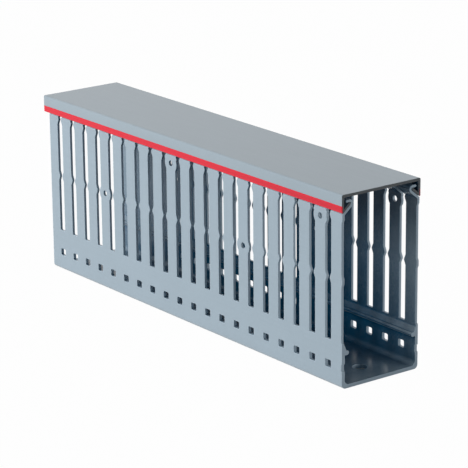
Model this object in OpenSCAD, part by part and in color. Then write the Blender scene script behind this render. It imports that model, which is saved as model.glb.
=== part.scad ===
// Slotted wire duct, 40 x 80 mm: a punched U-shaped trough with a clip-on cover.
// +X runs along the duct, +Z is up, and the origin is on the trough's underside, at its middle finger.

/* [Trough] */
// Width over the trough's two walls
trough_w = 39.6; // [36:0.1:60]
// Thickness of the solid lower part of each wall
wall_t = 1.4; // [1.3:0.1:2]
// Thickness of the floor
floor_t = 1.5; // [1.2:0.1:2.5]
// Rounding of the outer bottom edges
edge_r = 1.8; // [1.5:0.1:2.5]
// Rounding of the inner bottom corners
corner_r = 2.2; // [1:0.1:3]
// Base left standing past the last finger at the +X end
end_lip = 0.5; // [0.3:0.1:1.5]

/* [Fingers] */
// Slots in each wall
slots = 20; // [20:2:40]
// Distance from one finger to the next
pitch = 10; // [10:0.5:15]
// Width of a slot
slot_w = 3.7; // [3.4:0.1:4]
// Height of the bottom of the slots
slot_z = 19; // [18:0.1:24]
// Thickness of a finger
finger_t = 1.1; // [1:0.05:1.5]
// Rounding of a slot's bottom corners
slot_r = 0.4; // [0.2:0.1:0.8]

/* [Wire catches] */
// Height of the wire catches halfway up the fingers
catch_z = 44.6; // [40:0.1:50]
// How far a catch stands out from its finger
catch_out = 0.9; // [0.6:0.05:1.1]
// Height of a catch where it leaves the finger
catch_h = 4.4; // [4:0.1:7]
// Rounding of a catch's tip
catch_r = 1; // [1:0.1:2]
// Distance from the top catches' centres down from the cover
catch_drop = 1.7; // [1.4:0.1:2.4]
// How much wider each side of a finger is above the top catches
head_out = 0.45; // [0.2:0.05:0.5]

/* [Finger holes] */
// Radius of the clip holes in the fingers
clip_r = 1.3; // [1:0.05:1.6]
// Height of the clip holes halfway up the fingers
clip_mid_z = 44.3; // [40:0.1:50]
// Distance from the upper clip holes' centres up to the cover
clip_drop = 3.9; // [3:0.1:5.5]
// Radius of the widened finger around a clip hole
clip_pad_r = 4.1; // [4:0.1:4.4]

/* [Wall holes] */
// Width of the square holes under the slots
punch_w = 3.6; // [3:0.1:4]
// Height of the square holes under the slots
punch_h = 3.2; // [3:0.1:4]
// Height of their centres
punch_z = 8.7; // [7:0.1:9.5]
// Rounding of their corners
punch_r = 0.6; // [0.3:0.1:1]

/* [Rib] */
// Height of the rib along the inside of each wall
rib_z = 14.9; // [13.5:0.1:15.2]
// How far the rib stands in from the wall
rib_out = 2.1; // [1.8:0.1:2.4]
// Radius of the rib's rounded nose
rib_r = 0.9; // [0.7:0.1:1]

/* [Floor holes] */
// Radius of the screw holes in the floor
screw_r = 3.1; // [2:0.05:3.5]
// Overall length of the long screw holes
screw_slot_l = 12; // [9:0.5:16]
// Distance between a round and a long screw hole
screw_pitch = 50; // [50:1:60]
// Distance from the first round screw hole to the last finger's centre line
screw_end = 9; // [8:1:14]

/* [Cover] */
// Height over the closed duct
duct_h = 80; // [80:1:120]
// Length of the cover
cover_len = 210.6; // [208:0.1:450]
// How far the cover has been slid towards -X
cover_slid = 1.8; // [0:0.1:6]
// How far the cover stands out past each wall
cover_out = 0.35; // [0.2:0.05:0.6]
// Thickness of the cover's top
lid_t = 1.2; // [1:0.1:1.6]
// Thickness of the cover's flanges
flange_t = 1.1; // [1:0.05:1.3]
// Height over the cover's flanges
flange_h = 7.5; // [7.5:0.1:9]
// Rounding of the cover's outer edges
lid_r = 0.6; // [0.3:0.1:1]
// Thickness of the tongues that catch in the finger hooks
tongue_t = 0.9; // [0.7:0.05:0.9]
// Length of a tongue, from the flange's foot to its tip
tongue_l = 4.6; // [3.6:0.1:4.8]
// Angle at which a tongue climbs inwards
tongue_angle = 40; // [38:1:45]
// Height of the coloured stripe up from the flange's lower edge
stripe_h = 2.9; // [2:0.1:4]
// Depth of the coloured stripe in the flange
stripe_t = 0.4; // [0.3:0.05:0.5]

/* [Clip fit] */
// Clearance between the tongues and the finger hooks
fit_gap = 0.2; // [0.15:0.05:0.25]
// Thickness of the finger hooks
hook_t = 1; // [0.9:0.05:1]
// Length of a hook's free end, level over the tongue
hook_back = 1.4; // [0.6:0.1:1.6]

/* [Hidden] */
$fn = 64;

// Fingers with a clip hole, counted from the -X end: halfway up, and at the top.
CLIPS_MID = [5, 15];
CLIPS_TOP = [10, 20];
// Room that a cutting shape has beyond the faces that it cuts
over = 1;

fingers = slots + 1;
finger_w = pitch - slot_w;
first_x = -slots / 2 * pitch;
end_minus = first_x - finger_w / 2;
end_plus = -first_x + finger_w / 2 + end_lip;
trough_len = end_plus - end_minus;
cover_start = (end_plus + end_minus - cover_len) / 2 - cover_slid;

half_w = trough_w / 2;
cover_w = trough_w + 2 * cover_out;
flange_z = duct_h - flange_h;
catch_top_z = flange_z - catch_drop;
clip_top_z = flange_z - clip_drop;
// Height at which the wall grows thicker, just under the slots
step_drop = 1;
step_z = slot_z - step_drop;

// The tongue's middle line, and the direction that points off its lower side
tongue_run = [-cos(tongue_angle), sin(tongue_angle)];
tongue_side = [-sin(tongue_angle), -cos(tongue_angle)];
tongue_root = [cover_w / 2 - tongue_t / 2, flange_z + tongue_t / 2];
tongue_tip = tongue_root + tongue_l * tongue_run;
// Distance between the middle lines of the tongue and of the hook that wraps around it
wrap = tongue_t / 2 + fit_gap + hook_t / 2;
hook_tip = tongue_tip + wrap * tongue_side;
// The hook's arm, from its tip back through the finger's outer face, and the height at which it leaves the finger
hook_l = (half_w + hook_t - hook_tip.x) / cos(tongue_angle);
bend_z = hook_tip.y - (half_w - finger_t / 2 - hook_tip.x) * tan(tongue_angle);

// Draws its children along +X, with their first axis along +Y and their second along +Z.
module along_x(start, length) {
    translate([start, 0, 0]) rotate([90, 0, 90]) linear_extrude(length) children();
}

// Draws its children through both walls, with their first axis along +X and their second along +Z.
module through_walls() {
    rotate([90, 0, 0]) linear_extrude(trough_w + 2 * over, center = true) children();
}

// Both sides of the duct, from the +Y side.
module both_sides() {
    for (side = [0, 1]) mirror([side, 0]) children();
}

// An upright outline with its two lower corners rounded, centred on the first axis.
module rounded_foot(width, height, radius) {
    translate([-width / 2, radius]) square([width, height - radius]);
    translate([-width / 2 + radius, 0]) square([width - 2 * radius, height]);
    for (side = [-1, 1]) translate([side * (width / 2 - radius), radius]) circle(radius);
}

// A straight bar with round ends, whose middle line runs from a point along a direction.
module round_bar(from, angle, length, width) {
    translate(from) rotate(angle) {
        translate([0, -width / 2]) square([length, width]);
        for (end = [0, length]) translate([end, 0]) circle(width / 2);
    }
}

// The rib inside the wall: a round bead, with a slope above it from the crease behind it up to the finger.
module rib_section() {
    wall_in = half_w - wall_t;
    bead = [wall_in - rib_out + rib_r, rib_z];
    crease = bead + rib_r * [0.4, 0.8];
    finger_mid = half_w - finger_t / 2;
    translate(bead) circle(rib_r);
    polygon([
        [finger_mid, step_z],
        [wall_in, step_z],
        crease,
        bead,
        bead - rib_r * [0, 1],
        [finger_mid, rib_z - rib_r],
    ]);
}

// The top of a finger: it bends inwards under the cover's tongue, around its tip and level over it.
module hook_section() {
    reach = 2 * wrap;
    intersection() {
        translate(tongue_tip) {
            intersection() {
                difference() {
                    round_bar([0, 0], -tongue_angle, hook_l, 2 * wrap + hook_t);
                    round_bar([0, 0], -tongue_angle, hook_l, 2 * wrap - hook_t);
                }
                union() {
                    translate([-reach, -reach]) square([reach, 2 * reach]);
                    rotate(-tongue_angle) translate([0, -reach]) square([hook_l, reach]);
                }
            }
            round_bar([0, wrap], 0, hook_back, hook_t);
        }
        square([half_w, duct_h]);
    }
}

module trough_section() {
    difference() {
        rounded_foot(trough_w, bend_z, edge_r);
        translate([0, floor_t]) rounded_foot(trough_w - 2 * wall_t, bend_z, corner_r);
        translate([-half_w + finger_t, step_z]) square([trough_w - 2 * finger_t, duct_h]);
    }
    both_sides() {
        rib_section();
        hook_section();
    }
}

// A catch on a finger's edge: two flanks that run into a round tip.
module catch_outline(z) {
    edge_x = finger_w / 2;
    foot = [catch_r - catch_out, catch_h / 2];
    tip = edge_x - foot.x;
    touch = atan2(foot.y, foot.x) - acos(catch_r / norm(foot));
    touch_x = tip + catch_r * cos(touch);
    touch_z = catch_r * sin(touch);
    translate([0, z]) {
        translate([tip, 0]) circle(catch_r);
        polygon([
            [0, -foot.y], [edge_x, -foot.y], [touch_x, -touch_z],
            [touch_x, touch_z], [edge_x, foot.y], [0, foot.y],
        ]);
    }
}

// One edge of a finger, from its middle line: two catches, the wider head and the pads of its clip holes.
module finger_edge(finger) {
    catch_outline(catch_z);
    catch_outline(catch_top_z);
    translate([0, catch_top_z]) square([finger_w / 2 + head_out, duct_h - catch_top_z]);
    for (f = CLIPS_MID) if (f == finger) translate([0, clip_mid_z]) circle(clip_pad_r);
    for (f = CLIPS_TOP) if (f == finger) translate([0, clip_top_z]) circle(clip_pad_r);
}

// The opening between one finger and the next.
module slot_void(finger) {
    difference() {
        translate([0, slot_z]) rounded_foot(slot_w, duct_h - slot_z, slot_r);
        translate([-pitch / 2, 0]) finger_edge(finger);
        translate([pitch / 2, 0]) mirror([1, 0]) finger_edge(finger + 1);
    }
}

// A rectangle with round corners, centred on the origin.
module rounded_rect(width, height, radius) {
    square([width, height - 2 * radius], center = true);
    square([width - 2 * radius, height], center = true);
    for (x = [-1, 1], y = [-1, 1])
        translate([x * (width / 2 - radius), y * (height / 2 - radius)]) circle(radius);
}

module punched_hole() {
    translate([0, punch_z]) rounded_rect(punch_w, punch_h, punch_r);
}

module clip_hole(finger, z) {
    translate([first_x + (finger - 1) * pitch, 0, z])
        rotate([90, 0, 0]) cylinder(h = trough_w + 2 * over, r = clip_r, center = true);
}

// A screw hole in the floor, drawn out along the duct where its length is over its width.
module screw_hole(x, length) {
    run = length - 2 * screw_r;
    translate([x, 0, -over]) {
        for (end = [-1, 1]) translate([end * run / 2, 0, 0]) cylinder(h = floor_t + 2 * over, r = screw_r);
        if (run > 0) translate([-run / 2, -screw_r, 0]) cube([run, 2 * screw_r, floor_t + 2 * over]);
    }
}

module trough() {
    last_x = -first_x - screw_end;
    color("lightsteelblue") difference() {
        along_x(end_minus, trough_len) trough_section();
        for (i = [1:slots]) translate([first_x + (i - 0.5) * pitch, 0, 0]) through_walls() {
            slot_void(i);
            punched_hole();
        }
        // At the +X end the saw cut runs through the next slot and hole.
        translate([-first_x + pitch / 2, 0, 0]) through_walls() {
            slot_void(fingers);
            punched_hole();
        }
        for (finger = CLIPS_MID) clip_hole(finger, clip_mid_z);
        for (finger = CLIPS_TOP) clip_hole(finger, clip_top_z);
        for (i = [0:2:3]) {
            screw_hole(last_x - i * screw_pitch, 2 * screw_r);
            screw_hole(last_x - (i + 1) * screw_pitch, screw_slot_l);
        }
    }
}

// The cover's section: a flat top, two flanges, and a tongue at the foot of each flange.
module cover_section() {
    inside = flange_t + over;
    difference() {
        translate([0, duct_h]) mirror([0, 1]) rounded_foot(cover_w, flange_h - tongue_t / 2, lid_r);
        translate([-cover_w / 2 + flange_t, 0]) square([cover_w - 2 * flange_t, duct_h - lid_t]);
        both_sides() polygon([
            tongue_root,
            tongue_root + (inside - tongue_t / 2) * [-1, tan(tongue_angle)],
            tongue_root + (inside - tongue_t / 2) * [-1, 0],
        ]);
    }
    both_sides() round_bar(tongue_root, 180 - tongue_angle, tongue_l, tongue_t);
}

// The part of the section that the coloured stripe takes up.
module stripe_zone() {
    both_sides() translate([cover_w / 2 - stripe_t, flange_z]) square([stripe_t + over, stripe_h]);
}

module cover() {
    color("silver") along_x(cover_start, cover_len) difference() {
        cover_section();
        stripe_zone();
    }
}

module cover_stripe() {
    color("crimson") along_x(cover_start, cover_len) intersection() {
        cover_section();
        stripe_zone();
    }
}

trough();
cover();
cover_stripe();
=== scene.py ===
"""A slotted wire duct of rigid PVC, with its clip-on cover, on a pale studio floor."""

import math

import bpy
from mathutils import Matrix, Vector


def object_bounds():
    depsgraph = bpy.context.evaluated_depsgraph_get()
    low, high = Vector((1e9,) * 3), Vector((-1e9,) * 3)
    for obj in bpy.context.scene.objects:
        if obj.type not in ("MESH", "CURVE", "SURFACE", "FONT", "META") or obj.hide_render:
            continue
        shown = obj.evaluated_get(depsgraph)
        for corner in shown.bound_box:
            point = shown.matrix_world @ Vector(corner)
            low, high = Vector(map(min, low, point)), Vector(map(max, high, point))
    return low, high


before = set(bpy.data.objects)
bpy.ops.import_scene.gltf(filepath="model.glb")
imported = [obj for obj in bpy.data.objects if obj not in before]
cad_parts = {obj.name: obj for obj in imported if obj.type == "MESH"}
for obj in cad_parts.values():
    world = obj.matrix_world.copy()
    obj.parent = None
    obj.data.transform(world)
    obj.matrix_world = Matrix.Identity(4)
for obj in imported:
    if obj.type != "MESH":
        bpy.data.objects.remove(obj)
cad_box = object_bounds()

MM = 0.001


# ---------------------------------------------------------------- the view
# A long lens stands off the open +X end, a little above the cover, and looks back along the
# near wall. It is rolled by a little over half a degree.

view_azimuth = 52.93
view_elevation = 16.91
view_roll = -0.575
view_distance = 1066.8 * MM
view_aim = Vector((-5.20, 9.74, 32.93)) * MM
lens_length = 189.95
sensor_width = 36
nearest_shown = 0.05
farthest_shown = 20

scene = bpy.context.scene


def direction(azimuth, elevation):
    """The unit vector towards a place. Azimuth 0 is off the near wall, and 90 is off the +X end."""
    turn = math.radians(azimuth)
    rise = math.radians(elevation)
    return Vector((math.sin(turn) * math.cos(rise), -math.cos(turn) * math.cos(rise), math.sin(rise)))


camera_data = bpy.data.cameras.new("camera")
camera_data.sensor_width = sensor_width
camera_data.lens = lens_length
camera_data.clip_start = nearest_shown
camera_data.clip_end = farthest_shown
camera = bpy.data.objects.new("camera", camera_data)
scene.collection.objects.link(camera)
camera.matrix_world = (
    Matrix.Translation(view_aim + view_distance * direction(view_azimuth, view_elevation))
    @ Matrix.Rotation(math.radians(view_azimuth), 4, "Z")
    @ Matrix.Rotation(math.radians(90 - view_elevation), 4, "X")
    @ Matrix.Rotation(math.radians(view_roll), 4, "Z")
)
scene.camera = camera
scene.view_settings.view_transform = "Standard"


# ---------------------------------------------------------------- the studio
# A sheet of pale paper runs out of sight under the duct, and the surround is white. A broad key
# lamp stands off the near wall, a small one past the open end and a low one behind the far wall.


class Wire:
    """An output of a shader node. Arithmetic on it adds Math nodes to the same tree."""

    def __init__(self, tree, node, output=0):
        self.tree = tree
        self.node = node
        self.socket = node.outputs[output]

    def out(self, output):
        """Another output of the same node."""
        return Wire(self.tree, self.node, output)

    def maths(self, operation, *values):
        return self.tree.add("ShaderNodeMath", {"operation": operation}, dict(enumerate(values)))

    def __add__(self, other):
        return self.maths("ADD", self, other)

    def __sub__(self, other):
        return self.maths("SUBTRACT", self, other)

    def __rsub__(self, other):
        return self.maths("SUBTRACT", other, self)

    def __mul__(self, other):
        return self.maths("MULTIPLY", self, other)

    def __gt__(self, other):
        return self.maths("GREATER_THAN", self, other)

    def __abs__(self):
        return self.maths("ABSOLUTE", self)

    def most(self, other):
        """The larger of the two."""
        return self.maths("MAXIMUM", self, other)

    def smooth(self, low, high):
        """0 below low, 1 above high, and an even S between them."""
        return self.tree.add(
            "ShaderNodeMapRange",
            {"interpolation_type": "SMOOTHSTEP"},
            {"Value": self, "From Min": low, "From Max": high},
        )

    __radd__ = __add__
    __rmul__ = __mul__


class Tree:
    """The nodes of one material or of the world."""

    def __init__(self, owner):
        owner.use_nodes = True
        self.nodes = owner.node_tree.nodes
        self.links = owner.node_tree.links
        self.nodes.clear()

    def add(self, kind, settings=None, values=None, output=0):
        """A node with its settings made first, then its sockets set or linked. Gives one output."""
        node = self.nodes.new(kind)
        for name, setting in (settings or {}).items():
            setattr(node, name, setting)
        for name, value in (values or {}).items():
            if isinstance(value, Wire):
                self.links.new(value.socket, node.inputs[name])
            else:
                node.inputs[name].default_value = value
        if not len(node.outputs):
            return None
        return Wire(self, node, output)

    def vectors(self, operation, first, second, output="Vector"):
        """Arithmetic on two directions, places or colours."""
        return self.add("ShaderNodeVectorMath", {"operation": operation}, {0: first, 1: second}, output)

    def blend(self, share, first, second):
        """A colour that is all the first at a share of 0 and all the second at 1."""
        values = {"Factor": share, 6: first, 7: second}
        return self.add("ShaderNodeMix", {"data_type": "RGBA"}, values, output=2)

    def seen(self):
        """1 where the eye meets this, straight or in a shine, and 0 where it only lights the duct."""
        rays = self.add("ShaderNodeLightPath")
        shine = rays.out("Is Glossy Ray").most(rays.out("Is Transmission Ray"))
        return rays.out("Is Camera Ray").most(shine)


def rgb(red, green, blue):
    return (red, green, blue, 1)


white = rgb(1, 1, 1)
paper_grey = rgb(0.45, 0.45, 0.45)
paper_glow = 0.985
paper_reach = 4

# The paper under the duct doesn't glow, so that the holes in the duct's floor show dark. These are
# half its length and half its width, a little less than the duct's own.
covered_length = 101 * MM
covered_width = 18 * MM

bpy.ops.mesh.primitive_plane_add(size=2 * paper_reach, location=(0, 0, cad_box[0][2]))
studio_floor = bpy.context.object
studio_floor.name = "studio_floor"
floor_finish = bpy.data.materials.new("pale_paper")
studio_floor.data.materials.append(floor_finish)

paper = Tree(floor_finish)
place = paper.add("ShaderNodeSeparateXYZ", values={0: paper.add("ShaderNodeTexCoord", output="Object")})
uncovered = (abs(place.out("X")) > covered_length).most(abs(place.out("Y")) > covered_width)
glow = paper.seen() * paper_glow * uncovered
matt_paper = paper.add("ShaderNodeBsdfDiffuse", values={"Color": paper_grey})
glowing_paper = paper.add("ShaderNodeEmission", values={"Color": white, "Strength": 1})
sheet = paper.add("ShaderNodeMixShader", values={0: glow, 1: matt_paper, 2: glowing_paper})
paper.add("ShaderNodeOutputMaterial", values={"Surface": sheet})

# The surround looks white, but it throws only a faint blue fill on the duct.
fill_tint = rgb(0.30, 0.68, 1)
fill_level = 0.08

world = bpy.data.worlds.new("studio")
scene.world = world

sky = Tree(world)
blue_fill = sky.add("ShaderNodeBackground", values={"Color": fill_tint, "Strength": fill_level})
white_sky = sky.add("ShaderNodeBackground", values={"Color": white, "Strength": 1})
surround = sky.add("ShaderNodeMixShader", values={0: sky.seen(), 1: blue_fill, 2: white_sky})
sky.add("ShaderNodeOutputWorld", values={"Surface": surround})

lamp_distance = 1.6


def lamp(name, azimuth, elevation, size, level, glints=False):
    """A soft square lamp. At level 1, a card held square to it looks as bright as its own colour."""
    data = bpy.data.lights.new(name, "AREA")
    data.size = size
    data.energy = level * (math.pi * lamp_distance) ** 2
    source = bpy.data.objects.new(name, data)
    scene.collection.objects.link(source)
    towards = direction(azimuth, elevation)
    turned_to_duct = towards.to_track_quat("Z", "Y").to_matrix().to_4x4()
    source.matrix_world = Matrix.Translation(lamp_distance * towards) @ turned_to_duct
    source.visible_glossy = glints


lamp("key_lamp", azimuth=-22, elevation=26, size=0.8, level=1.08)
lamp("end_lamp", azimuth=122, elevation=11, size=0.5, level=0.20, glints=True)
lamp("back_lamp", azimuth=205, elevation=7, size=0.8, level=0.55)


# ---------------------------------------------------------------- the trough
# The trough is one length of extruded rigid PVC, blue-grey right through. Its slots, catches and
# holes are punched out of the walls, and its ends are sawn.

trough_grey = rgb(0.335, 0.412, 0.470)
pvc_refraction = 1.46
pvc_roughness = 0.24
corner_radius = 0.35 * MM
relief_depth = 0.012 * MM
noise_middle = 0.5

# What the noises and the cuts add to the brightness and to the roughness, and the share of the
# relief's depth that each one takes.
cloud_shade = 0.10
speck_shade = 0.10
cloud_roughness = 0.06
line_roughness = 0.03
cut_roughness = 0.16
line_height = 0.1
ripple_height = 0.4
burr_height = 0.6

# Painted shade: a face that looks into the duct is painted deeper and bluer, the less open sky it sees.
duct_middle = (0, 0, 40 * MM)
painted_shade_tone = (0, 0.15, 0.28)
sky_distance = 110 * MM


def painted_inside_shade(tree, where, facing):
    """How much shade is painted: 0 on faces that look out of the duct or have open sky, 1 on the
    deepest inside.
    """
    across_duct = tree.vectors("MULTIPLY", facing, (0, 1, 1))
    from_middle = tree.vectors("SUBTRACT", where, duct_middle)
    outward = tree.vectors("DOT_PRODUCT", across_duct, from_middle, output="Value")
    inward = (0 - outward).smooth(low=1 * MM, high=4 * MM)
    sky_share = tree.add(
        "ShaderNodeAmbientOcclusion", {"samples": 16}, {"Distance": sky_distance}, output="AO"
    )
    return inward * (1 - sky_share.smooth(low=0.18, high=0.58))


def extruded_pvc(name, colour, cut_face_painted_shading=0, painted_edge_highlight=0.10, streaks=0.06):
    """Satin PVC: die lines along the duct, soft edges, drier cut faces, and painted highlights and
    shade.
    """
    material = bpy.data.materials.new(name)
    tree = Tree(material)
    where = tree.add("ShaderNodeTexCoord", output="Object")
    facing = tree.add("ShaderNodeTexCoord", output="Normal")

    def noise(per_metre, detail):
        at = tree.vectors("MULTIPLY", where, per_metre)
        return tree.add("ShaderNodeTexNoise", values={"Vector": at, "Scale": 1, "Detail": detail})

    die_lines = noise(per_metre=(4, 900, 900), detail=3)
    clouds = noise(per_metre=(22, 45, 45), detail=2)
    specks = noise(per_metre=(1900, 1900, 1900), detail=1)
    ripple = noise(per_metre=(260, 420, 420), detail=2)
    line_swing = die_lines - noise_middle
    cloud_swing = clouds - noise_middle
    speck_swing = specks - noise_middle

    rounded = tree.add("ShaderNodeBevel", {"samples": 6}, {"Radius": corner_radius})
    sharp = tree.add("ShaderNodeNewGeometry", output="Normal")
    agree = tree.vectors("DOT_PRODUCT", rounded, sharp, output="Value")
    edge = (1 - agree).smooth(low=0.01, high=0.25)

    lengthwise = tree.add("ShaderNodeSeparateXYZ", values={0: facing}, output="X")
    cut = abs(lengthwise).smooth(low=0.6, high=0.9)

    tone_and_painted_light = line_swing * streaks + cloud_swing * cloud_shade + speck_swing * speck_shade
    # Painted light and shade: rounded edges are painted lighter as highlights, and faces square to the
    # length lighter or darker.
    tone_and_painted_light = tone_and_painted_light + edge * painted_edge_highlight + cut * cut_face_painted_shading
    tint = tree.add("ShaderNodeHueSaturation", values={"Color": colour, "Value": 1 + tone_and_painted_light})
    # Painted shade: faces inside the duct take a deeper, bluer copy of the colour.
    painted_shade_tint = tree.vectors("MULTIPLY", tint, painted_shade_tone)
    tint = tree.blend(painted_inside_shade(tree, where, facing), tint, painted_shade_tint)

    rough = pvc_roughness + cloud_swing * cloud_roughness + line_swing * line_roughness
    rough = rough + cut * cut_roughness

    height = die_lines * line_height + ripple * ripple_height + cut * specks * burr_height
    relief = tree.add(
        "ShaderNodeBump",
        values={"Strength": 1, "Distance": relief_depth, "Height": height, "Normal": rounded},
    )
    surface = tree.add(
        "ShaderNodeBsdfPrincipled",
        values={"Base Color": tint, "Roughness": rough, "IOR": pvc_refraction, "Normal": relief},
    )
    tree.add("ShaderNodeOutputMaterial", values={"Surface": surface})
    return material


def dress(name, material):
    """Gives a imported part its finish."""
    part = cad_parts[name]
    for holder in part.material_slots:
        holder.material = material


# The trough's edges get a strong painted highlight, and its cut faces are painted lighter, partly as
# sawn PVC whitens.
dress("trough", extruded_pvc("blue_grey_pvc", trough_grey, cut_face_painted_shading=0.3, painted_edge_highlight=1.0))


# ---------------------------------------------------------------- the cover
# The cover is its own PVC extrusion. It slides on from the end or is pressed down until its
# tongues catch in the finger hooks.

cover_grey = rgb(0.330, 0.395, 0.440)

# The cover's cut faces are painted darker: painted shade.
dress("cover", extruded_pvc("light_grey_pvc", cover_grey, cut_face_painted_shading=-0.85))


# ---------------------------------------------------------------- the stripe
# A band of red PVC is extruded together with the cover, flush in the outside of each flange.

stripe_red = rgb(0.71, 0.001, 0.022)

dress("cover_stripe", extruded_pvc("red_pvc", stripe_red, streaks=0.5))
